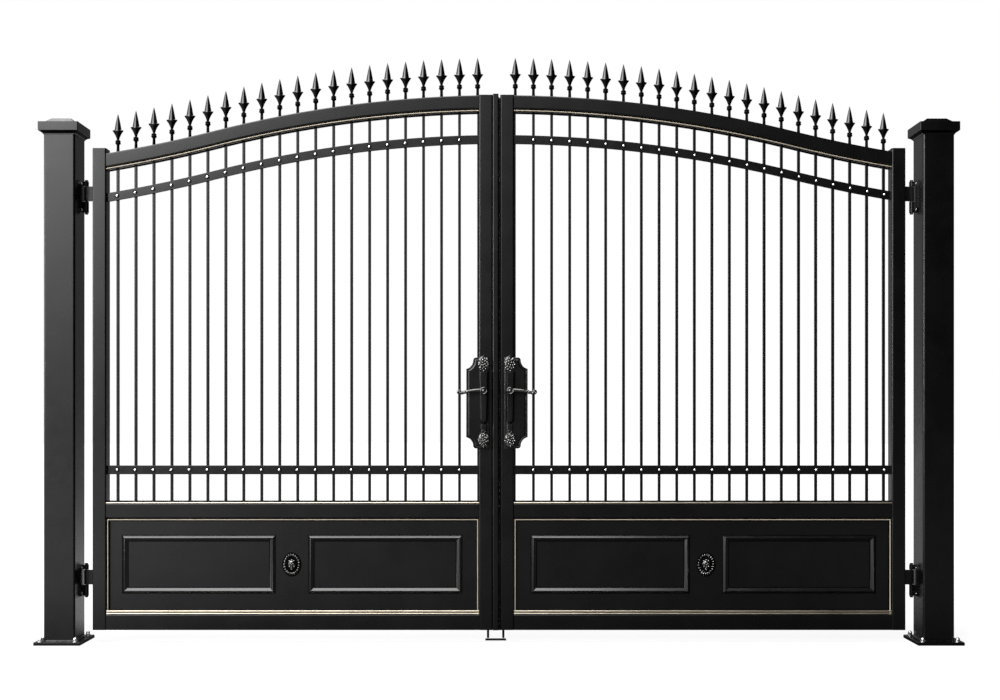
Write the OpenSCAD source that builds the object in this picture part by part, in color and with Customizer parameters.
// Double-leaf wrought iron driveway gate with its two posts.
// Millimetres. +X runs along the opening, +Y goes inwards (away from the street), +Z is up.
// The origin is the centre of the underside of the left post's base plate.
// Both leaves hang on pins behind their back face and open inwards.

/* [Opening and posts] */
// Clear opening between the two posts
opening_w = 3650; // [3600:10:3700]
// Side of the square post
post_w = 135; // [125:5:140]
// Wall thickness of the post tube
post_wall = 5; // [4:1:8]
// Height of the top of the post tube above the ground
post_top = 2195; // [2180:5:2240]
// Side of the square base plate
base_w = 200; // [195:5:230]
// Thickness of the base plate
base_t = 14; // [10:1:20]
// Anchor bolt spacing along the opening
bolt_sx = 150; // [140:2:156]
// Anchor bolt spacing across the opening
bolt_sy = 168; // [166:1:170]
// Diameter of the anchor bolt holes
bolt_hole_d = 18; // [14:1:20]
// Side of the square post cap
cap_w = 172; // [164:2:190]

/* [Leaf frame] */
// Side of the square frame tube
tube = 60; // [56:1:62]
// Wall thickness of the frame tube
tube_wall = 3; // [2:0.5:4]
// Gap under the leaves
leaf_bottom = 55; // [50:1:80]
// Gap between a post and its leaf
side_gap = 63; // [60:1:66]
// Height of the bottom rail
bottom_rail_h = 66; // [60:1:70]
// Height of the underside of the lock rail
lock_rail_z = 542; // [530:1:560]
// Height of the top of the hinge stiles
hinge_stile_top = 2144; // [2135:1:2160]
// Height of the top of the meeting stiles
meeting_stile_top = 2375; // [2375:1:2382]
// Distance from the gate's centre to the left leaf's meeting stile
left_meeting = 27; // [26:1:30]
// Distance from the gate's centre to the right leaf's meeting stile
right_meeting = 5; // [5:1:7]

/* [Arched top] */
// Height of the top of the arch at the gate's centre
apex_z = 2374; // [2368:1:2374]
// Radius of the crown of the left leaf's arch
left_crown_r = 5000; // [4950:10:5050]
// Radius of the crown of the right leaf's arch
right_crown_r = 5300; // [5250:10:5350]
// Distance from the centre at which the left arch turns into its reverse curve
left_turn_u = 1225; // [1210:5:1240]
// Distance from the centre at which the right arch turns into its reverse curve
right_turn_u = 1270; // [1255:5:1285]
// Radius of the reverse curves at the hinge ends
sweep_r = 6000; // [5800:50:6200]
// Depth of the lips under the top rail
lip_h = 12; // [11:1:16]

/* [Bars and bands] */
// Side of the square infill bars
bar = 12; // [10:1:14]
// Number of infill bars in the left leaf
left_bars = 20; // [19:1:20]
// Number of infill bars in the right leaf
right_bars = 21; // [20:1:21]
// Lead of the middle bars of the right leaf over even spacing
right_lead = 15; // [0:1:18]
// Height of the flat bands
band_h = 39; // [34:1:42]
// Thickness of the flat bands
band_t = 8; // [6:1:10]
// Drop from the top of the arch to the top of the arched band
band_drop = 170; // [160:1:180]
// Height of the underside of the lower band
low_band_z = 729; // [715:1:745]

/* [Kick panel] */
// Distance from the middle of the leaf to the outer face of each panel skin
skin_y = 12; // [10:1:14]
// Thickness of each panel skin
skin_t = 2; // [1.5:0.5:3]
// Width of the raised panel mouldings
mould_w = 29; // [24:1:32]
// Height of the raised panel mouldings
mould_h = 9; // [6:1:10]
// Margin between the meeting stile and the mouldings
mould_margin = 72; // [66:1:78]
// Distance from the gate's centre to the rosettes
rosette_u = 900; // [880:1:910]
// Gap between the two moulded frames
mould_gap = 140; // [130:1:150]
// Width of the gilt beading around the panel
bead_w = 10; // [8:1:12]

/* [Locks and bolts] */
// Height of the lever spindles
lever_z = 1092; // [1085:1:1100]
// Length of a lever from its spindle to the middle of its tip
lever_l = 107; // [100:1:115]
// Lift of the drop bolts
bolt_lift = 80; // [60:1:85]
// Diameter of the drop bolts
bolt_d = 10; // [8:1:11]

/* [Hinges] */
// Height of the middle of the lower hinges
low_hinge_z = 264; // [255:1:280]
// Height of the middle of the upper hinges
high_hinge_z = 1940; // [1920:1:1950]
// Radius of the hinge knuckles
knuckle_r = 10; // [9:0.5:11]
// Radius of the hinge pins
pin_r = 5; // [4:0.5:6]

/* [Hidden] */
$fn = 48;

L = -1;
R = 1;
iron = [0.10, 0.10, 0.10];
gilt = [0.72, 0.60, 0.38];
half = tube / 2;
post_u = opening_w / 2 + post_w / 2;
hinge_out = opening_w / 2 - side_gap;
hinge_in = hinge_out - tube;
pin_u = opening_w / 2 - 19;
pin_y = half;
lock_rail_top = lock_rail_z + tube;
panel_z0 = leaf_bottom + bottom_rail_h;
contact = 0.1;
play = 0.08;
spindle_r = 7;
plate_t = 8;
bar_t = 18;
bolt_y = half + 14;
keeper_t = 4;
end_w = 8;
stop_t = 4;
lever_fall = 4;
bolt_z0 = keeper_t + 5;

// Every leaf is drawn on the right, along u, the distance from the gate's centre, and mirrored for the left.
function meet(s) = s < 0 ? left_meeting : right_meeting;
function meet_in(s) = meet(s) + tube;
function bars(s) = s < 0 ? left_bars : right_bars;
function first_bar(s) = meet_in(s) + 85;
function last_bar(s) = hinge_in - (s < 0 ? 43 : 28);
function lead(s) = s < 0 ? 0 : right_lead;
function along(s, i) = i / (bars(s) - 1);
// The right leaf's bars stand a little closer together towards the hinge.
function bar_u(s, i) = first_bar(s) + along(s, i) * (last_bar(s) - first_bar(s)) + lead(s) * 4 * along(s, i) * (1 - along(s, i));
function end_bar(s) = meet_in(s) + bar / 2;
function plate_in(s) = s < 0 ? 42 : 24;
function spindle_u(s) = plate_in(s) + 24;
function bolt_u(s) = s < 0 ? 48 : 19;

// Top of the arch: a crown arc about a centre below, then a reverse arc about a centre above.
function crown(s) = s < 0 ? left_crown_r : right_crown_r;
function turn(s) = s < 0 ? left_turn_u : right_turn_u;
function turn_a(s) = asin(turn(s) / crown(s));
function sweep_u(s) = turn(s) + sweep_r * sin(turn_a(s));
function sweep_z(s) = apex_z - crown(s) + (crown(s) + sweep_r) * cos(turn_a(s));
function arc_z(s, u) = u <= turn(s)
    ? apex_z - crown(s) + sqrt(crown(s) * crown(s) - u * u)
    : sweep_z(s) - sqrt(sweep_r * sweep_r - (u - sweep_u(s)) * (u - sweep_u(s)));

// The arch is drawn through stations between the bars, so that each bar meets one flat of it.
function stations(s) = concat(
    [meet_in(s), meet_in(s) + 38],
    [for (i = [0 : bars(s) - 2], t = [0.3, 0.7]) (1 - t) * bar_u(s, i) + t * bar_u(s, i + 1)],
    [hinge_in]
);
function arch(s) = [for (u = stations(s)) [u, arc_z(s, u)]];
function top_z(s, u) = lookup(u, arch(s));
function turned(p) = [for (i = [len(p) - 1 : -1 : 0]) p[i]];
function lowered(p, d) = [for (q = p) [q[0], q[1] - d]];
function strip_of(s, d0, d1) = concat(lowered(arch(s), d0), turned(lowered(arch(s), d1)));

module site() { translate([post_u, 0, 0]) children(); }
module leaf(s) { site() { if (s < 0) mirror([1, 0, 0]) children(); else children(); } }
// Extrudes an outline in u and z through the thickness from y0 to y1.
module slab(y0, y1) { translate([0, y1, 0]) rotate([90, 0, 0]) linear_extrude(height = y1 - y0) children(); }
module box(u0, u1, y0, y1, z0, z1) { translate([u0, y0, z0]) cube([u1 - u0, y1 - y0, z1 - z0]); }
module both_faces() { children(); mirror([0, 1, 0]) children(); }
module oval(w, h) { polygon([for (i = [0 : 39]) [w / 2 * cos(i * 9), h / 2 * sin(i * 9)]]); }

// ---- posts ----

module post(s) {
    color(iron) leaf(s) translate([post_u, 0, base_t]) difference() {
        translate([-post_w / 2, -post_w / 2, 0]) cube([post_w, post_w, post_top - base_t]);
        translate([-post_w / 2 + post_wall, -post_w / 2 + post_wall, -1])
            cube([post_w - 2 * post_wall, post_w - 2 * post_wall, post_top - base_t + 2]);
    }
}

module frustum(w0, w1, h) { rotate([0, 0, 45]) cylinder(h = h, d1 = w0 * sqrt(2), d2 = w1 * sqrt(2), $fn = 4); }

// The cap is a flared neck, a square slab and a low raised top.
module post_cap(s) {
    color(iron) leaf(s) translate([post_u, 0, post_top]) {
        frustum(post_w + 4, cap_w - 4, 14);
        translate([-cap_w / 2, -cap_w / 2, 14]) cube([cap_w, cap_w, 38]);
        translate([0, 0, 52]) frustum(cap_w - 42, cap_w - 82, 22);
    }
}

module base_plate(s) {
    color(iron) leaf(s) translate([post_u, 0, 0]) difference() {
        translate([-base_w / 2, -base_w / 2, 0]) cube([base_w, base_w, base_t]);
        for (x = [-1, 1], y = [-1, 1])
            translate([x * bolt_sx / 2, y * bolt_sy / 2, -1]) cylinder(h = base_t + 2, d = bolt_hole_d);
    }
}

// Each bracket is a round-ended plate on the post, two knuckles on webs, and the pin through them.
module hinge_brackets(s) {
    color(iron) leaf(s) for (z = [low_hinge_z, high_hinge_z]) translate([0, 0, z]) {
        translate([opening_w / 2 - 5, pin_y - 8, 0]) rotate([0, 90, 0]) {
            translate([-48, -22, 0]) cube([96, 44, 5]);
            for (e = [-48, 48]) translate([e, 0, 0]) cylinder(h = 5, r = 22);
        }
        for (k = [[-68, -20], [48, 68]]) {
            translate([pin_u, pin_y, k[0]]) cylinder(h = k[1] - k[0], r = knuckle_r);
            box(pin_u, opening_w / 2 - 4, pin_y - 6, pin_y + 6, k[0] + 1, k[1] - 1);
        }
        translate([pin_u, pin_y, -75]) cylinder(h = 150, r = pin_r);
        for (e = [-75, 69]) translate([pin_u, pin_y, e]) cylinder(h = 6, r = pin_r + 2);
    }
}

module floor_keeper() {
    color(iron) site() difference() {
        box(-60, 31, bolt_y - 17, bolt_y + 17, 0, keeper_t);
        for (s = [L, R]) box(s * bolt_u(s) - 7, s * bolt_u(s) + 7, bolt_y - 7, bolt_y + 7, -1, keeper_t + 1);
    }
}

// ---- leaf frames ----

// The tube is closed at its top and open at its foot, as drained frames are.
module hinge_stile(s) {
    color(iron) leaf(s) difference() {
        box(hinge_in, hinge_out, -half, half, leaf_bottom, hinge_stile_top);
        box(hinge_in + tube_wall, hinge_out - tube_wall, -half + tube_wall, half - tube_wall,
            leaf_bottom - 1, hinge_stile_top - tube_wall);
    }
}

// The right stile has a thin stop at its back, which almost meets the stop of the left strip.
module meeting_stile(s) {
    color(iron) leaf(s) {
        difference() {
            box(meet(s), meet_in(s), -half, half, leaf_bottom, meeting_stile_top);
            box(meet(s) + tube_wall, meet_in(s) - tube_wall, -half + tube_wall, half - tube_wall,
                leaf_bottom - 1, meeting_stile_top - tube_wall);
            translate([spindle_u(s), 0, lever_z]) rotate([90, 0, 0]) cylinder(h = 2 * tube, r = 9, center = true);
        }
        if (s > 0) box(2, meet(s) + 1, half - stop_t, half, leaf_bottom, meeting_stile_top);
    }
}

// The strip stands a little proud of the frame, and its stop reaches across most of the gap between the leaves.
module meeting_strip(s) {
    color(iron) leaf(s) {
        difference() {
            box(2, meet(s), -half - 6, half, leaf_bottom, meeting_stile_top + 3);
            box(6, meet(s) + 1, -half - 2, half - 4, leaf_bottom - 1, meeting_stile_top - 1);
        }
        box(-2 + contact, 3, half - stop_t, half, leaf_bottom, meeting_stile_top + 3);
    }
}

// A lip under each side of the tube backs the gilt beading.
module top_rail(s) {
    color(iron) leaf(s) {
        difference() {
            slab(-half, half) polygon(strip_of(s, 0, tube));
            slab(-half + tube_wall, half - tube_wall) polygon(concat(
                [for (p = arch(s)) [p[0] == meet_in(s) ? p[0] - 1 : p[0] == hinge_in ? p[0] + 1 : p[0], p[1] - tube_wall]],
                turned([for (p = arch(s)) [p[0] == meet_in(s) ? p[0] - 1 : p[0] == hinge_in ? p[0] + 1 : p[0], p[1] - tube + tube_wall]])));
        }
        both_faces() slab(-half + 10, -half + 16) polygon(strip_of(s, tube - 1, tube + lip_h));
    }
}

module straight_rail(s, z0, z1) {
    leaf(s) difference() {
        box(meet_in(s), hinge_in, -half, half, z0, z1);
        box(meet_in(s) - 1, hinge_in + 1, -half + tube_wall, half - tube_wall, z0 + tube_wall, z1 - tube_wall);
    }
}
module lock_rail(s) { color(iron) straight_rail(s, lock_rail_z, lock_rail_top); }
module bottom_rail(s) { color(iron) straight_rail(s, leaf_bottom, panel_z0); }

// ---- infill and finials ----

// A flat bar stands against the meeting stile.
module infill(s) {
    color(iron) leaf(s) union() {
        for (e = concat([[meet_in(s), meet_in(s) + end_w]], [for (i = [0 : bars(s) - 1]) [bar_u(s, i) - bar / 2, bar_u(s, i) + bar / 2]])) {
            a = e[0];
            b = e[1];
            slab(-bar / 2, bar / 2) polygon([
                [a, lock_rail_top], [b, lock_rail_top],
                [b, top_z(s, b) - tube - contact], [a, top_z(s, a) - tube - contact]]);
        }
        slab(-bar / 2 - band_t + 1, -bar / 2 + 1) polygon(strip_of(s, band_drop, band_drop + band_h));
        box(meet_in(s), hinge_in, -bar / 2 - band_t + 1, -bar / 2 + 1, low_band_z, low_band_z + band_h);
    }
}

// A stem cut to the slope of the rail carries a collar and a four-sided barbed spearhead.
module finial(s, u) {
    a = u - bar / 2;
    b = u + bar / 2;
    slab(-bar / 2, bar / 2) polygon([
        [a, top_z(s, a) + contact], [b, top_z(s, b) + contact], [b, top_z(s, u) + 37], [a, top_z(s, u) + 37]]);
    translate([u, 0, top_z(s, u)]) rotate_extrude($fn = 4) polygon([
        [0, 36], [9, 36], [13, 39.5], [13, 49], [9, 54], [6.5, 57], [9, 66], [13.5, 77],
        [23, 93.5], [24, 96.5], [14.5, 99], [8.5, 137], [0, 169]]);
}
module finials(s) {
    color(iron) leaf(s) {
        finial(s, end_bar(s));
        for (i = [0 : bars(s) - 1]) finial(s, bar_u(s, i));
    }
}

// ---- gilt beading, kick panel and rosettes ----

// The bead around the panel is doubled along its foot.

module panel_ring(s, inset, w) {
    difference() {
        translate([meet_in(s) + inset, panel_z0 + inset])
            square([hinge_in - meet_in(s) - 2 * inset, lock_rail_z - panel_z0 - 2 * inset]);
        translate([meet_in(s) + inset + w, panel_z0 + inset + w])
            square([hinge_in - meet_in(s) - 2 * (inset + w), lock_rail_z - panel_z0 - 2 * (inset + w)]);
    }
}

module gilt_beading(s) {
    color(gilt) leaf(s) both_faces() {
        slab(-half, -half + 10) polygon(strip_of(s, tube + 3, tube + 10));
        box(meet_in(s), hinge_in, -half, -half + 10, lock_rail_top, lock_rail_top + 13);
        slab(-half + 3, -skin_y) panel_ring(s, 0, bead_w);
        box(meet_in(s) + bead_w, hinge_in - bead_w, -half + 3, -skin_y, panel_z0 + bead_w + 2, panel_z0 + 2 * bead_w + 2);
    }
}

module moulding(u0, u1, z0, z1) {
    difference() {
        translate([u0, z0]) square([u1 - u0, z1 - z0]);
        translate([u0 + mould_w, z0 + mould_w]) square([u1 - u0 - 2 * mould_w, z1 - z0 - 2 * mould_w]);
    }
}

module kick_panel(s) {
    m0 = meet_in(s) + mould_margin;
    m1 = hinge_in - mould_margin + 8;
    z0 = panel_z0 + 90;
    z1 = lock_rail_z - 76;
    color(iron) leaf(s) both_faces() {
        box(meet_in(s), hinge_in, -skin_y, -skin_y + skin_t, panel_z0, lock_rail_z);
        for (u = [[m0, rosette_u - mould_gap / 2], [rosette_u + mould_gap / 2, m1]])
            slab(-skin_y - mould_h, -skin_y + 1) moulding(u[0], u[1], z0, z1);
    }
}

module rosettes(s) {
    z = (panel_z0 + lock_rail_z) / 2 + 6;
    color(iron) leaf(s) both_faces() translate([rosette_u, 0, z]) {
        slab(-skin_y - 10, -skin_y) oval(80, 102);
        slab(-skin_y - 18, -skin_y - 9) oval(46, 62);
    }
}

// ---- locks ----

module lock_case(s) {
    color(iron) leaf(s) difference() {
        box(meet_in(s), plate_in(s) + 94, -half, half, 898, 1180);
        box(meet_in(s) - 1, plate_in(s) + 91, -half + 3, half - 3, 901, 1177);
        box(meet_in(s) - 1, meet_in(s) + end_w + 0.5, -bar / 2 - 0.5, bar / 2 + 0.5, 890, 1190);
    }
}

// A plate with scooped outer corners on each face of the leaf.
module lock_plates(s) {
    p = plate_in(s);
    color(iron) leaf(s) both_faces() slab(-half - plate_t, -half) difference() {
        union() {
            translate([p, 854]) square([100, 370]);
            for (z = [854, 1224]) {
                translate([p, z - 12]) square([58, 24]);
                translate([p + 58, z]) circle(r = 12);
            }
        }
        for (z = [854, 1224]) translate([p + 108, z]) circle(r = 38);
        translate([spindle_u(s), lever_z]) circle(r = spindle_r + play);
    }
}

// A tapered raised bar with a cast boss above and below it, on each face.
module handle_bars(s) {
    u = spindle_u(s);
    y = -half - plate_t;
    color(iron) leaf(s) both_faces() difference() {
        union() {
            slab(y - bar_t, y) polygon([[u - 15, 948], [u + 15, 948], [u + 20, 1176], [u - 20, 1176]]);
            slab(y - 10, y) translate([u - 11, 905]) square([22, 45]);
            slab(y - 14, y) translate([u, 1207]) oval(55, 82);
            slab(y - 14, y) translate([u, 879]) oval(54, 76);
        }
        translate([u, y + 1, lever_z]) rotate([90, 0, 0]) cylinder(h = bar_t + 2, r = spindle_r + play);
    }
}

// The two levers of a lock turn together on one spindle.
module lever(s) {
    u = spindle_u(s);
    y = half + plate_t + bar_t;
    color(iron) leaf(s) translate([u, 0, lever_z]) {
        rotate([90, 0, 0]) cylinder(h = 2 * y + 4, r = spindle_r, center = true);
        both_faces() {
            translate([0, -y - 1, 0]) rotate([90, 0, 0]) cylinder(h = 22, r = 15.5);
            translate([0, -y - 15, 0]) rotate([0, 90 + lever_fall, 0]) {
                cylinder(h = lever_l, r = 5.5);
                translate([0, 0, lever_l]) sphere(r = 8.5);
            }
        }
    }
}

// ---- hinges and drop bolts ----

module hinge_straps(s) {
    color(iron) leaf(s) for (z = [low_hinge_z, high_hinge_z]) difference() {
        union() {
            translate([pin_u, pin_y, z - 18]) cylinder(h = 64, r = knuckle_r);
            box(hinge_out, pin_u, pin_y - 10, pin_y, z - 18, z + 46);
        }
        translate([pin_u, pin_y, z - 19]) cylinder(h = 66, r = pin_r + play);
    }
}

module bolt_guides(s) {
    color(iron) leaf(s) for (z = [100, 400]) difference() {
        box(bolt_u(s) - 12, bolt_u(s) + 12, half, bolt_y + 11, z, z + 25);
        translate([bolt_u(s), bolt_y, z - 1]) cylinder(h = 27, r = bolt_d / 2 + 0.3);
    }
}

// A round bolt with a stop collar that rests on the upper guide, and a finger peg.
module drop_bolt(s) {
    color(iron) leaf(s) translate([bolt_u(s), bolt_y, 0]) {
        translate([0, 0, bolt_z0]) cylinder(h = 520 - bolt_z0, d = bolt_d);
        translate([0, 0, 426]) cylinder(h = 10, r = 9);
        translate([0, 0, 500]) rotate([-90, 0, 0]) cylinder(h = 44, r = 4.5);
        translate([0, 44, 500]) sphere(r = 8);
    }
}

// ---- assembly ----

post(L);  // left_post
post_cap(L);  // left_post_cap
base_plate(L);  // left_base_plate
hinge_brackets(L);  // left_hinge_brackets
post(R);  // right_post
post_cap(R);  // right_post_cap
base_plate(R);  // right_base_plate
hinge_brackets(R);  // right_hinge_brackets
floor_keeper();
hinge_stile(L);  // left_hinge_stile
meeting_stile(L);  // left_meeting_stile
meeting_strip(L);  // left_meeting_strip
top_rail(L);  // left_top_rail
lock_rail(L);  // left_lock_rail
bottom_rail(L);  // left_bottom_rail
infill(L);  // left_infill
finials(L);  // left_finials
gilt_beading(L);  // left_gilt_beading
kick_panel(L);  // left_kick_panel
rosettes(L);  // left_rosettes
lock_case(L);  // left_lock_case
lock_plates(L);  // left_lock_plates
handle_bars(L);  // left_handle_bars
hinge_straps(L);  // left_hinge_straps
bolt_guides(L);  // left_bolt_guides
lever(L);  // left_lever
drop_bolt(L);  // left_drop_bolt
hinge_stile(R);  // right_hinge_stile
meeting_stile(R);  // right_meeting_stile
top_rail(R);  // right_top_rail
lock_rail(R);  // right_lock_rail
bottom_rail(R);  // right_bottom_rail
infill(R);  // right_infill
finials(R);  // right_finials
gilt_beading(R);  // right_gilt_beading
kick_panel(R);  // right_kick_panel
rosettes(R);  // right_rosettes
lock_case(R);  // right_lock_case
lock_plates(R);  // right_lock_plates
handle_bars(R);  // right_handle_bars
hinge_straps(R);  // right_hinge_straps
bolt_guides(R);  // right_bolt_guides
lever(R);  // right_lever
drop_bolt(R);  // right_drop_bolt
